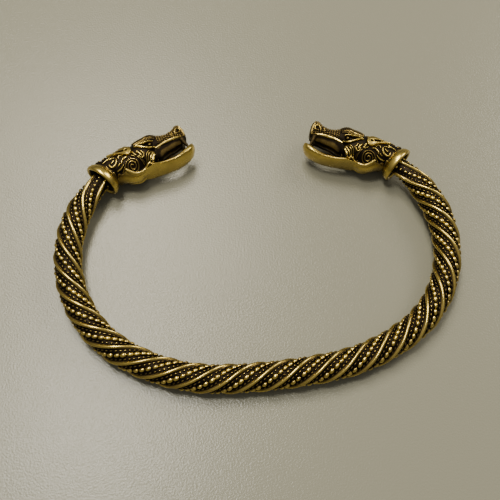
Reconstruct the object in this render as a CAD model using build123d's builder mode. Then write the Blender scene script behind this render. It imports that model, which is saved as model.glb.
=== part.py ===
from build123d import *
import os
from math import asin, copysign, cos, degrees, pi, radians, sin

# An open cuff bracelet. A round band with a raised, beaded twist is bent to the wrist, and each of its
# two ends is held in the cup-shaped collar of a cast beast head. Lengths are in millimetres, angles in
# degrees. The cuff lies on its side: +Z is up, +Y points from the middle of the band's back to the open
# side between the heads, and the origin is under the middle of the whole cuff.

# The band's way, seen from above: tangent arcs from the middle of the back out to each side, and a short
# straight run up to each collar's rim
BAND_WAY = {
    # columns: radius, turn
    "left": [(67.0, 2.2), (32.4, 30.8), (21.9, 95.9)],
    "right": [(111.5, 8.6), (35.4, 26.3), (20.8, 99.0)],
}
end_run = 1.45

# The twist on the band
band_radius = 2.6
end_radius = 2.0
taper_length = 9.0
twist_lead = 20.95
twist_starts = 4
twist_phase = 44.0
bead_pitch = 0.97
relief_depth = 0.42
TWIST_PROFILE = [
    # columns: share of one start's width, depth at a bead and depth between beads as shares of the relief
    (-0.09, 0.0, 0.0),
    (0.09, 0.0, 0.0),
    (0.27, 1.0, 1.0),
    (0.50, 0.05, 0.75),
    (0.73, 1.0, 1.0),
]

# The collar, its mouth and the socket for the band's end
collar_radius = 3.55
collar_length = 1.9
collar_mouth = 2.95
collar_root = 3.05
mouth_depth = 1.0
socket_depth = 2.6
socket_clearance = 0.12
neck_radius = 2.3
neck_length = 3.6

# The head, measured along its own axis, which leaves the collar's axis at neck_reach and bends inwards.
# The left head is rolled outwards about its axis and the right one inwards
neck_bend = 29.0
neck_reach = 2.1
head_roll = 4.3
head_length = 16.5
head_height = 9.3
head_width = 6.9
squareness = 2.4
round_points = 16
SKULL = [
    # columns: place along the head as a share of its length, top and bottom as shares of its height,
    # and width as a share of its width
    (0.00, 0.28, -0.27, 0.78),
    (0.06, 0.29, -0.28, 0.84),
    (0.12, 0.30, -0.30, 0.88),
    (0.19, 0.31, -0.36, 0.92),
    (0.26, 0.32, -0.39, 0.96),
    (0.33, 0.31, -0.39, 0.98),
    (0.38, 0.37, -0.37, 1.00),
    (0.46, 0.41, -0.33, 0.98),
    (0.51, 0.43, -0.29, 0.95),
    (0.55, 0.43, -0.16, 0.92),
    (0.59, 0.43, -0.06, 0.88),
    (0.64, 0.39, -0.03, 0.81),
    (0.69, 0.32, -0.01, 0.76),
    (0.77, 0.30, 0.00, 0.72),
    (0.86, 0.34, 0.00, 0.72),
    (0.93, 0.40, -0.02, 0.69),
    (0.97, 0.39, 0.00, 0.58),
    (0.99, 0.33, 0.08, 0.42),
]
JAW = [
    # the same columns as the skull's
    (0.36, -0.22, -0.34, 0.66),
    (0.44, -0.25, -0.35, 0.74),
    (0.50, -0.28, -0.36, 0.74),
    (0.57, -0.31, -0.385, 0.72),
    (0.65, -0.32, -0.41, 0.70),
    (0.76, -0.32, -0.415, 0.68),
    (0.86, -0.285, -0.395, 0.65),
    (0.94, -0.215, -0.355, 0.59),
    (0.98, -0.16, -0.315, 0.52),
    (1.01, -0.12, -0.265, 0.42),
    (1.03, -0.115, -0.215, 0.26),
]

# The relief on each cheek. Its places are shares of the head's length and height
EAR_ENDS = [(0.03, 0.25), (0.31, 0.12)]
ear_height = 2.5
ear_thickness = 1.4
EAR = [
    # columns: place between the ear's tip and its round end, top and bottom as shares of its height, and
    # width as a share of its thickness
    (0.00, 0.08, -0.08, 0.20),
    (0.20, 0.24, -0.20, 0.55),
    (0.50, 0.42, -0.36, 0.90),
    (0.78, 0.50, -0.50, 1.00),
    (0.94, 0.38, -0.44, 0.75),
    (1.00, 0.18, -0.26, 0.35),
]
EYE = (0.53, 0.09)
EYE_CORNERS = [(0.37, 0.16), (0.60, 0.04)]
lid_rise = 0.085
corner_gap = 0.012
eye_radius = 0.8
eye_sink = 0.35
SPIRAL = (0.264, -0.215)
spiral_radius = 1.25
spiral_step = 0.74
spiral_half_turns = 3
NOSTRIL = (0.90, 0.24)
nostril_radius = 0.55
nostril_line = 0.2
LIP = [(0.58, -0.01), (0.76, 0.06), (0.93, 0.05)]
CHEEK_RIM = [(0.34, -0.33), (0.45, -0.22), (0.555, -0.06)]
line_radius = 0.27
FANG_ENDS = [(0.925, 0.06), (0.965, -0.20)]
fang_spread = 1.4
fang_radius = 0.45


def skin(rings):
    """A closed solid through rings of points: triangles between neighbours and a flat face on each end."""
    faces = [Face(Wire.make_polygon(rings[0])), Face(Wire.make_polygon(rings[-1]))]
    for near, far in zip(rings, rings[1:]):
        for k, corner in enumerate(near):
            after = (k + 1) % len(near)
            faces.append(Face(Wire.make_polygon([corner, near[after], far[k]])))
            faces.append(Face(Wire.make_polygon([near[after], far[after], far[k]])))
    return Solid(Shell(faces))


def band_side(name, direction):
    """One half of the band's centre line, from the middle of the back to the collar's rim."""
    with BuildLine() as way:
        start = (0, 0)
        heading = (direction, 0)
        for radius, turn in BAND_WAY[name]:
            arc = JernArc(start=start, tangent=heading, radius=radius, arc_size=direction * turn)
            start = arc @ 1
            heading = arc % 1
        Line(start, start + heading * end_run)
    return way.wires()[0]


SIDES = {"left": band_side("left", -1), "right": band_side("right", 1)}
END_PLANES = {
    name: Plane(origin=way @ 1, x_dir=way % 1, z_dir=(0, 0, 1)) for name, way in SIDES.items()
}
peg_length = socket_depth - socket_clearance
left_length = SIDES["left"].length + peg_length
band_length = left_length + SIDES["right"].length + peg_length


def band_station(distance):
    """The point and the direction of the band's centre line, at a distance from its left end."""
    along = distance - left_length
    way = SIDES["left" if along < 0 else "right"]
    on_way = min(abs(along), way.length)
    heading = way.tangent_at(on_way, position_mode=PositionMode.LENGTH)
    point = way.position_at(on_way, position_mode=PositionMode.LENGTH)
    return point + heading * (abs(along) - on_way), heading * copysign(1, along)


def band_ring(distance, between_beads):
    """One ring of points round the band: the twist's profile, once for each start."""
    point, heading = band_station(distance)
    outward = heading.rotate(Axis.Z, -90)
    from_rim = min(distance, band_length - distance) - peg_length
    share = min(max(from_rim / taper_length, 0), 1)
    radius = end_radius + (band_radius - end_radius) * share
    depth = relief_depth * radius / band_radius
    ring = []
    for start in range(twist_starts):
        for place, at_bead, at_gap in TWIST_PROFILE:
            turn = (start + place) / twist_starts + distance / twist_lead
            angle = radians(360 * turn + twist_phase)
            reach = radius - depth * (at_gap if between_beads else at_bead)
            ring.append(point + outward * (reach * cos(angle)) + Vector(0, 0, reach * sin(angle)))
    return ring


def rounded_ring(x, top, bottom, width, centre_z=0.0):
    """A ring of points across the head's axis, between a circle and a square in its outline."""
    middle = (top + bottom) / 2
    ring = []
    for k in range(round_points):
        angle = 2 * pi * (k + 0.5) / round_points
        rise = copysign(abs(cos(angle)) ** (2 / squareness), cos(angle))
        side = copysign(abs(sin(angle)) ** (2 / squareness), sin(angle))
        ring.append(Vector(x, middle + rise * (top - bottom) / 2, centre_z + side * width / 2))
    return ring


def head_skin(table):
    """The skull or the jaw, from its table of shares."""
    return skin(
        [
            rounded_ring(x * head_length, top * head_height, bottom * head_height, width * head_width)
            for x, top, bottom, width in table
        ]
    )


def cheek_point(place):
    """The point of the skull's side at a place given in shares of the head's length and height."""
    share, rise = place
    before = [row for row in SKULL if row[0] <= share][-1]
    after = [row for row in SKULL if row[0] > share][0]
    part = (share - before[0]) / (after[0] - before[0])
    top, bottom, width = [before[k] + part * (after[k] - before[k]) for k in (1, 2, 3)]
    off = abs(2 * rise - top - bottom) / (top - bottom)
    depth = max(1 - off**squareness, 0) ** (1 / squareness)
    return Vector(share * head_length, rise * head_height, depth * width * head_width / 2)


def cheek_plane(place):
    """A plane that lies on the skull's side, with its x along the head."""
    share, rise = place
    step = 0.02
    along = cheek_point((share + step, rise)) - cheek_point((share - step, rise))
    across = cheek_point((share, rise + step)) - cheek_point((share, rise - step))
    return Plane(origin=cheek_point(place), x_dir=along, z_dir=along.cross(across))


def raised_line(places):
    """A round raised line on the cheek: one arc through three places, with domed ends."""
    first, middle, last = [cheek_point(place) for place in places]
    with BuildPart() as line:
        with BuildLine() as way:
            ThreePointArc(first, middle, last)
        with BuildSketch(Plane(origin=way.line @ 0, z_dir=way.line % 0)):
            Circle(line_radius)
        sweep()
        with Locations(first, last):
            Sphere(line_radius)
    return line.part


def lid(side):
    """One eyelid: a raised line that bows up or down, from just above or below the eye's corners."""
    rear, front = [(x, y + side * corner_gap) for x, y in EYE_CORNERS]
    middle = ((rear[0] + front[0]) / 2, (rear[1] + front[1]) / 2 + side * (lid_rise - corner_gap))
    return raised_line([rear, middle, front])


def spiral():
    """The spiral on the cheek: a round raised line that rises from its outer end and narrows by half turns."""
    with BuildPart() as curl:
        with BuildLine(cheek_plane(SPIRAL)) as way:
            start = (-spiral_radius, 0)
            heading = (0, 1)
            for k in range(spiral_half_turns):
                radius = spiral_radius - k * spiral_step / 2
                arc = JernArc(start=start, tangent=heading, radius=radius, arc_size=-180)
                start = arc @ 1
                heading = arc % 1
        with BuildSketch(Plane(origin=way.line @ 0, z_dir=way.line % 0)):
            Circle(line_radius)
        sweep()
    return curl.part


def eye():
    """The round eye, part sunk between its two lids."""
    with BuildPart() as ball:
        with Locations(cheek_plane(EYE).offset(-eye_sink)):
            Sphere(eye_radius)
        add([lid(1), lid(-1)])
    return ball.part


def nostril():
    """The curled rim of the nostril."""
    with BuildPart() as curl:
        with Locations(cheek_plane(NOSTRIL)):
            Torus(nostril_radius, nostril_line)
    return curl.part


def fang():
    """The tooth at the front corner of the mouth, which joins the upper jaw to the lower."""
    root, tip = [Vector(x * head_length, y * head_height, fang_spread) for x, y in FANG_ENDS]
    with BuildPart() as tooth:
        with BuildLine():
            Line(root, tip)
        with BuildSketch(Plane(origin=root, z_dir=tip - root)):
            Circle(fang_radius)
        sweep()
    return tooth.part


def ear():
    """The ear: a leaf laid back along the upper cheek, half sunk in the skull."""
    tip, end = EAR_ENDS
    rings = []
    for share, top, bottom, width in EAR:
        middle = cheek_point((tip[0] + share * (end[0] - tip[0]), tip[1] + share * (end[1] - tip[1])))
        above = middle.Y + top * ear_height
        below = middle.Y + bottom * ear_height
        rings.append(rounded_ring(middle.X, above, below, width * ear_thickness, middle.Z))
    return skin(rings)


# The head by itself, along its own axis, with the same relief on both cheeks
with BuildPart() as bare_head:
    add([head_skin(SKULL), head_skin(JAW)])
    for feature in (ear(), eye(), spiral(), nostril(), raised_line(LIP), raised_line(CHEEK_RIM), fang()):
        add(feature)
        mirror(feature, about=Plane.XY)


def casting(roll):
    """The head, rolled about its own axis, on its neck and its collar, with the socket for the band's end.

    It lies along the axis of the band's end, which goes into the socket.
    """
    neck_end = Location((neck_reach, 0, 0), (0, 0, -neck_bend))
    with BuildPart() as whole_head:
        with BuildSketch():
            with BuildLine():
                rim = (collar_radius - collar_mouth) / 2
                rolled = ThreePointArc((rim, collar_mouth), (0, collar_mouth + rim), (rim, collar_radius))
                flare = Spline(rolled @ 1, (collar_length, collar_root), tangents=[(1, 0), (1, -0.25)])
                neck = Line(flare @ 1, (neck_length, neck_radius))
                Polyline(neck @ 1, (neck_length, 0), (rim, 0), rolled @ 0)
            make_face()
        revolve(axis=Axis.X)
        with Locations(neck_end * Location((0, 0, 0), (roll, 0, 0))):
            add(bare_head.part)
        with BuildSketch():
            with BuildLine():
                bore = end_radius + socket_clearance
                Polyline(
                    (-mouth_depth, 0),
                    (-mouth_depth, collar_mouth),
                    (0, collar_mouth),
                    (mouth_depth, bore),
                    (socket_depth, bore),
                    (socket_depth, 0),
                    close=True,
                )
            make_face()
        revolve(axis=Axis.X, mode=Mode.SUBTRACT)
    return whole_head.part


# The band, with a ring of points at each bead and between each two beads
with BuildPart() as twisted_band:
    half_beads = 2 * round(band_length / bead_pitch)
    add(skin([band_ring(band_length * k / half_beads, k % 2 == 1) for k in range(half_beads + 1)]))

with BuildPart(END_PLANES["left"]) as head_left:
    add(casting(-head_roll))

with BuildPart(END_PLANES["right"]) as head_right:
    add(mirror(casting(head_roll), about=Plane.XZ, mode=Mode.PRIVATE))

# At rest the cuff lies on both cheeks and on the middle of the band's back: it leans until they are level
pieces = {"twisted_band": twisted_band, "head_left": head_left, "head_right": head_right}
span = (END_PLANES["left"].origin.Y + END_PLANES["right"].origin.Y) / 2
lean = 0.0
for _ in range(3):
    leaning = Location((0, 0, 0), (lean, 0, 0))
    lowest = {name: (leaning * piece.part).bounding_box().min.Z for name, piece in pieces.items()}
    rise = lowest["twisted_band"] - min(lowest["head_left"], lowest["head_right"])
    lean += degrees(asin(rise / span))

leaning = Location((0, 0, 0), (lean, 0, 0))
whole = Compound(children=[leaning * piece.part for piece in pieces.values()]).bounding_box()
seat = Location((-whole.center().X, -whole.center().Y, -whole.min.Z)) * leaning

os.makedirs("parts", exist_ok=True)
for name, piece in pieces.items():
    solid = seat * piece.part
    solid.label = name
    export_step(solid, f"parts/{name}.step")
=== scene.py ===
import bpy
import numpy as np
from bpy.props import FloatProperty, FloatVectorProperty, IntProperty, PointerProperty
from mathutils import Matrix, Vector


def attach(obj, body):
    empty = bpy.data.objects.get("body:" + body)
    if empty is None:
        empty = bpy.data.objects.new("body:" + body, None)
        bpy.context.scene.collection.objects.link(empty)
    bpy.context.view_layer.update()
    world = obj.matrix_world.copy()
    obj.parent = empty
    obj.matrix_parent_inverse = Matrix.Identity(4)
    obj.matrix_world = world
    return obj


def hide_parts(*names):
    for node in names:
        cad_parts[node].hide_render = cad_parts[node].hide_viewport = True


bl_info = {
    "name": "Twisted Cuff With Beast Heads",
    "version": (1, 0, 0),
    "blender": (4, 5, 0),
    "location": "3D View > Sidebar > Cuff",
    "description": "Dresses the packed open cuff: twisted beaded band and two cast beast heads",
    "category": "Object",
}

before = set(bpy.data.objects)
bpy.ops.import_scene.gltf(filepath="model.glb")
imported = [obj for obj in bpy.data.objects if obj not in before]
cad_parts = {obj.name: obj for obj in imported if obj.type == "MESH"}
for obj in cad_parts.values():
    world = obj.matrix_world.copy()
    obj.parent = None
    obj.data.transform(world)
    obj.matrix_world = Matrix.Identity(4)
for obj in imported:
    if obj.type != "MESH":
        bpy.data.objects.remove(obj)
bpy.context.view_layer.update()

MM = 0.001
UP = np.array([0.0, 0.0, 1.0])
SIDES = ("left", "right")

# The band's way from the middle of its back outwards, as arcs of radius in mm and turn in degrees
BAND_WAY = {
    "left": ((67.0, 2.2), (32.4, 30.8), (21.9, 95.9)),
    "right": ((111.5, 8.6), (35.4, 26.3), (20.8, 99.0)),
}

# The straight run after the arcs, and the peg that goes on into the collar, in mm
END_RUN = 1.45
PEG_LENGTH = 2.48

# The run before each collar over which the twist loosens, in mm, and its loosening at the rim as a share
LOOSE_RUN = 8.0
LOOSENING = 0.60

# The lean of the cuff's own plane on the table, in degrees, and its shift, in mm
SEAT_LEAN = 1.7376
SEAT_SHIFT = (-5.7905, -23.4433, 2.5998)

# The wires: half width as a share of the way from wire to wire, and rows and columns of the band's grid
WIRE_HALF_WIDTH = 0.122
BAND_ROWS = 440
COLUMNS_PER_WIRE = 22

# The beaded rows. Columns: places between two wires, spacing as a share of the bead pitch, half sizes along,
# beside and up in mm, depth of the top below the wires in mm, circles and corners of a bead, and its wear and
# painted glint: what along and beside add to up, the two ends of the step from dark to bright, and how far
# the brightening goes. The bright tops stand for polish worn on the beads and also paint their glints.
BEADS = {
    "large_beads": ((0.5,), 1.0, (0.60, 0.43, 0.44), 0.05, (6, 10), (0.30, -0.25, 0.15, 0.70, 1.0)),
    "fine_beads": ((0.235, 0.765), 0.70, (0.34, 0.18, 0.24), 0.27, (3, 8), (0.0, -0.30, 0.40, 0.95, 0.85)),
}
BEAD_SEED = 7

# How unevenly the beads are placed and sized, as shares, and how small and how sunk they are at a collar
BEAD_DRIFT = 0.06
BEAD_UNEVENNESS = 0.12
BEAD_LEAST = 0.62
BEAD_SINK = 0.14

# Sections of the head's body and upper jaw
# Columns: place along the head, top, bottom and width, as shares of the head's length, height and width
BODY = (
    (0.00, 0.27, -0.26, 0.76),
    (0.06, 0.28, -0.30, 0.82),
    (0.12, 0.31, -0.33, 0.86),
    (0.19, 0.345, -0.37, 0.90),
    (0.26, 0.355, -0.405, 0.94),
    (0.31, 0.34, -0.415, 0.955),
    (0.335, 0.325, -0.405, 0.965),
    (0.365, 0.355, -0.375, 0.98),
    (0.41, 0.385, -0.352, 0.98),
    (0.46, 0.405, -0.35, 0.97),
    (0.49, 0.413, -0.355, 0.955),
    (0.508, 0.418, -0.30, 0.945),
    (0.522, 0.42, -0.24, 0.935),
    (0.545, 0.43, -0.19, 0.92),
    (0.565, 0.43, -0.11, 0.90),
    (0.60, 0.42, -0.075, 0.86),
    (0.64, 0.38, -0.045, 0.81),
    (0.67, 0.34, -0.012, 0.78),
    (0.70, 0.31, 0.01, 0.76),
    (0.77, 0.29, 0.03, 0.72),
    (0.85, 0.325, 0.035, 0.72),
    (0.89, 0.38, 0.03, 0.71),
    (0.92, 0.425, 0.02, 0.69),
    (0.955, 0.43, 0.02, 0.63),
    (0.98, 0.385, 0.03, 0.50),
    (0.996, 0.30, 0.11, 0.26),
)

# Sections of the lower jaw, with the same columns
JAW = (
    (0.36, -0.335, -0.345, 0.50),
    (0.44, -0.338, -0.352, 0.66),
    (0.485, -0.332, -0.36, 0.72),
    (0.515, -0.316, -0.363, 0.74),
    (0.57, -0.32, -0.385, 0.72),
    (0.65, -0.322, -0.41, 0.70),
    (0.76, -0.32, -0.415, 0.68),
    (0.80, -0.300, -0.41, 0.67),
    (0.86, -0.262, -0.395, 0.65),
    (0.94, -0.180, -0.355, 0.59),
    (0.98, -0.14, -0.315, 0.52),
    (1.005, -0.12, -0.27, 0.43),
    (1.022, -0.11, -0.23, 0.30),
    (1.03, -0.14, -0.195, 0.14),
)

# The collar's outline: place along its axis and radius, in mm, from inside the cup round the rim
COLLAR = (
    (2.55, 2.14),
    (1.25, 2.20),
    (0.95, 2.35),
    (0.35, 2.86),
    (0.12, 2.98),
    (0.00, 3.14),
    (0.03, 3.36),
    (0.16, 3.51),
    (0.34, 3.56),
    (0.60, 3.54),
    (1.00, 3.42),
    (1.35, 3.24),
    (1.52, 3.08),
    (1.64, 2.86),
    (1.85, 2.72),
    (2.75, 2.58),
    (3.60, 2.28),
)

# The relief, drawn on the side of the head in mm: x runs from the collar to the nose, y up, and heights
# are over the smooth skin
GROUND = -0.22
EAR = (
    (1.20, 1.90), (2.10, 1.58), (2.85, 1.28), (3.50, 0.84), (4.05, 0.44), (4.55, 0.20), (4.98, 0.28),
    (5.28, 0.62), (5.42, 1.25), (5.32, 1.90), (4.95, 2.40), (4.30, 2.66), (3.40, 2.74), (2.30, 2.52),
)
EAR_RIM = (
    (0.95, 1.86), (1.55, 1.80), (2.20, 1.60), (2.90, 1.32), (3.55, 0.92), (4.08, 0.52), (4.55, 0.28),
    (4.95, 0.38), (5.22, 0.72), (5.32, 1.25), (5.22, 1.85),
)
EAR_SLIT = ((2.50, 2.05), (3.20, 1.92), (3.85, 1.62))
EAR_DOT = (4.50, 1.40)
EAR_LEVEL, EAR_GAIN = 0.06, 0.22
EAR_SLOPE = (2.0, 4.6)
EAR_MARGIN = 0.18
EAR_LINE = {"radius": 0.18, "crest": 0.50, "foot": -0.08}
EAR_SLIT_DEPTH = 0.60
EAR_DOT_DEPTH = 0.45

EYE_OPENING = (
    (6.75, 1.28), (7.30, 1.40), (8.20, 1.40), (9.10, 1.34), (9.70, 1.12), (9.86, 0.75), (9.62, 0.38),
    (9.20, 0.22), (8.75, 0.22), (8.30, 0.40), (7.80, 0.74), (7.25, 1.04),
)
EYEBALL = (9.12, 0.82)
EYE_MARGIN = 0.30
EYE_DEPTH = 0.36
EYEBALL_LINE = {"radius": 0.42, "crest": 0.50, "foot": -0.46}

NOSTRIL = (15.15, 1.85)
LIP = (
    (10.00, -0.22), (10.60, 0.05), (11.20, 0.27), (11.80, 0.40), (12.60, 0.52), (13.40, 0.60), (14.40, 0.60),
    (15.20, 0.45), (15.90, 0.45),
)
LIP_START = 9.8
LIP_LINE = {"radius": 0.36, "crest": 0.38, "foot": -0.08}

CHEEK_RIM = (
    (3.12, -2.12), (3.48, -2.52), (4.05, -3.00), (4.70, -3.30), (5.40, -3.34), (6.20, -3.14), (6.80, -2.82),
    (7.25, -2.50), (7.75, -2.38),
)
CHEEK_LINE = ((0.0, 0.20), (0.12, 0.30), (0.45, 0.24), (0.7, 0.17), (1.0, 0.14))

# Where the smooth skin of the chin begins, from the collar to the start of the cheek's rim
THROAT_BORDER = ((-2.0, -2.60), (1.0, -2.20), (2.4, -2.25))

# The places over which the snout's and the brow's own patterns come in and go out
SNOUT_START, SNOUT_FOOT = (10.5, 10.9), (0.55, 0.85)
BROW_START, BROW_END, BROW_FOOT = (5.9, 6.3), (10.3, 10.7), (1.70, 1.85)

SPIRAL_CENTRE = (4.48, -2.04)
SPIRAL = (
    # columns: turn in degrees, clockwise from the outer end, and distance from the centre in mm
    (0.0, 1.40), (90.0, 1.25), (180.0, 1.17), (270.0, 1.07), (360.0, 0.91), (450.0, 0.80), (540.0, 0.73),
    (630.0, 0.60), (720.0, 0.44), (810.0, 0.32), (900.0, 0.16),
)
SPIRAL_START = 215.0
SPIRAL_LINE = {"radius": 0.115, "crest": 0.32, "foot": GROUND + 0.04}
BOSS_RADIUS, BOSS_TOP, BOSS_HEIGHT = 1.40, 1.36, 0.06

STROKES = (
    # columns: half width, height over the ground, and the places that the raised line runs through
    # the mane
    (0.17, 0.50, (
        (0.65, -0.02), (0.62, -0.52), (0.95, -0.84), (1.40, -0.79), (1.90, -0.47), (2.20, 0.08), (2.15, 0.58),
    )),
    (0.12, 0.34, ((0.95, 0.88), (1.45, 1.03), (1.95, 0.83))),
    (0.13, 0.36, ((1.00, 0.03), (1.35, 0.08), (1.70, 0.43))),
    (0.15, 0.46, ((2.80, -0.94), (2.90, -0.52), (3.25, -0.22), (3.80, -0.07), (4.15, -0.22))),
    (0.13, 0.42, ((1.50, -1.74), (2.10, -1.69), (2.60, -1.54), (3.00, -1.24))),
    (0.12, 0.32, ((2.55, 0.33), (2.75, 0.78), (3.20, 0.78), (3.50, 0.43))),
    (0.12, 0.30, ((1.15, -2.35), (1.50, -2.10), (1.90, -2.30), (2.15, -2.75))),
    (0.13, 0.36, ((-0.40, 0.73), (0.20, 1.02), (0.70, 1.10), (1.20, 1.38))),
    (0.12, 0.32, ((-0.05, 0.08), (0.10, -0.72), (0.50, -1.34))),
    (0.11, 0.30, ((0.75, -1.54), (0.95, -1.85), (0.95, -2.45))),
    (0.11, 0.32, ((1.95, -1.14), (2.35, -0.94), (2.55, -0.67))),
    (0.14, 0.30, ((2.40, -2.25), (2.75, -2.00), (3.05, -1.69))),
    # the leaves and the hatching on the cheek
    (0.19, 0.42, ((5.40, 0.53), (5.55, -0.02), (5.80, -0.57))),
    (0.14, 0.34, ((4.95, -0.17), (5.30, -0.37), (5.50, -0.67))),
    (0.20, 0.42, ((6.15, 0.18), (6.45, -0.22), (6.65, -0.72), (6.70, -0.99))),
    (0.13, 0.38, ((6.30, -0.74), (6.35, -1.19), (6.70, -1.39), (7.05, -1.19), (7.10, -0.79))),
    (0.13, 0.32, ((6.85, 0.08), (7.10, -0.27), (7.25, -0.72))),
    (0.11, 0.28, ((5.85, -0.74), (6.20, -1.29), (6.50, -1.89), (6.65, -2.55))),
    (0.10, 0.24, ((6.15, -0.94), (6.60, -1.69), (6.90, -2.35))),
    (0.10, 0.26, ((7.50, -0.52), (7.25, -1.04), (7.15, -1.74))),
    (0.11, 0.30, ((8.60, -0.42), (8.00, -0.72), (7.60, -1.19), (7.40, -1.84), (7.20, -2.35))),
    (0.12, 0.32, ((9.15, -0.62), (8.40, -0.84), (7.95, -1.34), (7.70, -1.85), (7.50, -2.35))),
    (0.14, 0.40, ((9.70, -0.40), (9.05, -0.80), (8.40, -1.45), (8.00, -2.00), (7.75, -2.45))),
    (0.13, 0.34, ((6.95, -3.35), (7.20, -3.00), (7.45, -2.60))),
)
STROKE_WIDENING = 1.15  # how much wider the strokes are laid than the table says
FOLDS = (
    # the same columns, for the lines at the corner of the mouth and on the brow
    (0.17, 0.42, ((10.10, -0.22), (9.50, -0.66), (8.95, -1.25), (8.50, -1.90), (8.20, -2.50))),
    (0.13, 0.40, ((7.70, -2.52), (8.00, -2.57), (8.15, -2.97), (8.30, -3.32))),
    (0.12, 0.22, ((6.20, 1.93), (7.20, 2.13), (8.20, 2.33), (9.00, 2.63))),
    (0.12, 0.24, ((8.75, 1.83), (9.00, 2.28), (9.60, 2.38), (10.00, 2.08))),
    (0.11, 0.18, ((7.20, 1.83), (8.00, 1.93), (8.60, 1.88))),
    (0.12, 0.18, ((9.30, 1.93), (9.60, 1.98))),
    (0.12, 0.18, ((6.10, 2.55), (7.10, 2.80), (8.10, 3.05), (9.10, 3.20))),
)
EYE_LINES = (
    # the same columns: the brow's lower edge and the lower lid
    (0.13, 0.32, (
        (6.15, 1.30), (6.60, 1.50), (7.10, 1.62), (7.80, 1.54), (8.60, 1.54), (9.30, 1.46), (9.80, 1.25),
    )),
    (0.22, 0.44, (
        (6.15, 1.28), (6.80, 1.08), (7.35, 0.76), (7.85, 0.42), (8.35, 0.14), (8.80, 0.02), (9.30, 0.04),
        (9.70, 0.20),
    )),
)
NOSE_LINES = (
    # the same columns: the curl of the nostril and the nose's front edge
    (0.15, 0.30, (
        (14.40, 1.05), (14.45, 1.70), (14.80, 2.30), (15.35, 2.45), (15.65, 2.05), (15.50, 1.55),
        (15.10, 1.45),
    )),
    (0.17, 0.30, ((15.95, 0.62), (16.10, 1.30), (16.00, 2.10), (15.75, 2.75))),
    (0.12, 0.22, ((13.60, 1.15), (13.75, 1.75), (14.10, 2.35))),
)

# The palate: where its folds begin and how far it hangs down along the head, in mm
PALATE_START = 9.6
PALATE_HANG = ((8.2, 0.0), (9.4, 0.9), (10.4, 1.35), (13.0, 1.15), (15.0, 0.75), (15.7, 0.0))

# The fangs: places from root to tip with radius in mm, place along the head and height as shares, and
# their distance from the middle
FANG_RADIUS = ((0.0, 0.56), (0.25, 0.46), (0.75, 0.28), (1.0, 0.17))
FANG_PLACE = ((0.0, 0.925), (0.5, 0.938), (1.0, 0.958))
FANG_HEIGHT = ((0.0, 0.05), (1.0, -0.20))
FANG_SPREAD = 1.4
# painted shade: the fangs are kept dark
FANG_SHADE = 0.70

# The finishes: how far noise breaks up the patina and painted light, roughness where polished, and depth of
# the pits in m
FINISHES = {
    "twist_plating": (0.30, 0.24, 0.00003),
    "carved_plating": (0.34, 0.27, 0.00003),
    "polished_plating": (0.22, 0.27, 0.00002),
}

# The table: half its width in m, its two shades, scale and detail of their noise and of the grain's,
# strength and height in m of the grain, and the gloss
TABLE_HALF = 1.5
TABLE_SHADES = (0.95, 1.05)
CLOUDS = (14.0, 3.0)
GRAIN = (3000.0, 2.0)
GRAIN_STRENGTH, GRAIN_HEIGHT = 0.45, 0.0001
TABLE_ROUGHNESS, TABLE_SPECULAR = 0.24, 0.26

# The lamps: place and size in m, power in W, and colour
LAMPS = {
    "lamp_far": ((-0.09, 0.29, 0.57), 0.22, 3.75, (1.0, 0.92, 0.77)),
    "lamp_side": ((0.42, 0.28, 0.42), 0.24, 2.2, (1.0, 0.92, 0.79)),
    "lamp_top": ((-0.125, 0.07, 0.60), 0.12, 2.4, (1.0, 0.95, 0.84)),
}

# The room's light is dim at the horizon and brighter overhead
SKY_COLOUR = (1.0, 0.97, 0.90, 1.0)
SKY_RAMP = {"From Min": 0.0, "From Max": 0.9, "To Min": 0.10, "To Max": 0.50}

# The camera: azimuth, pitch and roll in degrees, the point in its middle and its distance in mm, and its
# focal length and sensor width in mm
CAMERA_TURNS = (9.455, 66.335, -6.426)
CAMERA_TARGET = (-1.817, 0.444, 2.5)
CAMERA_DISTANCE = 140.673
FOCAL_LENGTH, SENSOR_WIDTH = 55.07028, 36.0
CLIP_START = 0.005


# Reading and shaping the tables


def row_values(table, places):
    """Reads each column of a table at every place and rounds its corners with a short running mean."""
    rows = np.array(table)
    span = 0.012
    taps = np.linspace(-1.0, 1.0, 9)
    weights = 1.0 - 0.9 * taps**2
    columns = []
    for column in rows.T[1:]:
        near = places[:, None] + span * taps[None, :]
        columns.append((np.interp(near, rows[:, 0], column) * weights).sum(1) / weights.sum())
    return columns


def read(table, places):
    """Reads a table of places and values at other places, straight between its rows."""
    return np.interp(places, *np.array(table).T)


def smooth_line(points, rounds=2):
    """Cuts the corners of a run of points: each round puts two points at a quarter of every step."""
    line = np.array(points, float)
    for _ in range(rounds):
        near = 0.75 * line[:-1] + 0.25 * line[1:]
        far = 0.25 * line[:-1] + 0.75 * line[1:]
        middle = np.stack([near, far], 1).reshape(-1, 2)
        line = np.vstack([line[:1], middle[1:-1], line[-1:]])
    return line


def rise(values, low, high):
    """A smooth step from 0 at low to 1 at high."""
    share = np.clip((values - low) / (high - low), 0.0, 1.0)
    return share * share * (3.0 - 2.0 * share)


def line_distance(x, y, line):
    """The distance from every point to a run of straight steps, and how far along it, from 0 to 1."""
    nearest = np.full(x.shape, 1e3)
    place = np.zeros(x.shape)
    steps = len(line) - 1
    for k in range(steps):
        ax, ay = line[k]
        bx, by = line[k + 1]
        length = (bx - ax) ** 2 + (by - ay) ** 2
        share = np.clip(((x - ax) * (bx - ax) + (y - ay) * (by - ay)) / length, 0.0, 1.0)
        distance = np.hypot(x - ax - share * (bx - ax), y - ay - share * (by - ay))
        closer = distance < nearest
        nearest = np.where(closer, distance, nearest)
        place = np.where(closer, (k + share) / steps, place)
    return nearest, place


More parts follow.
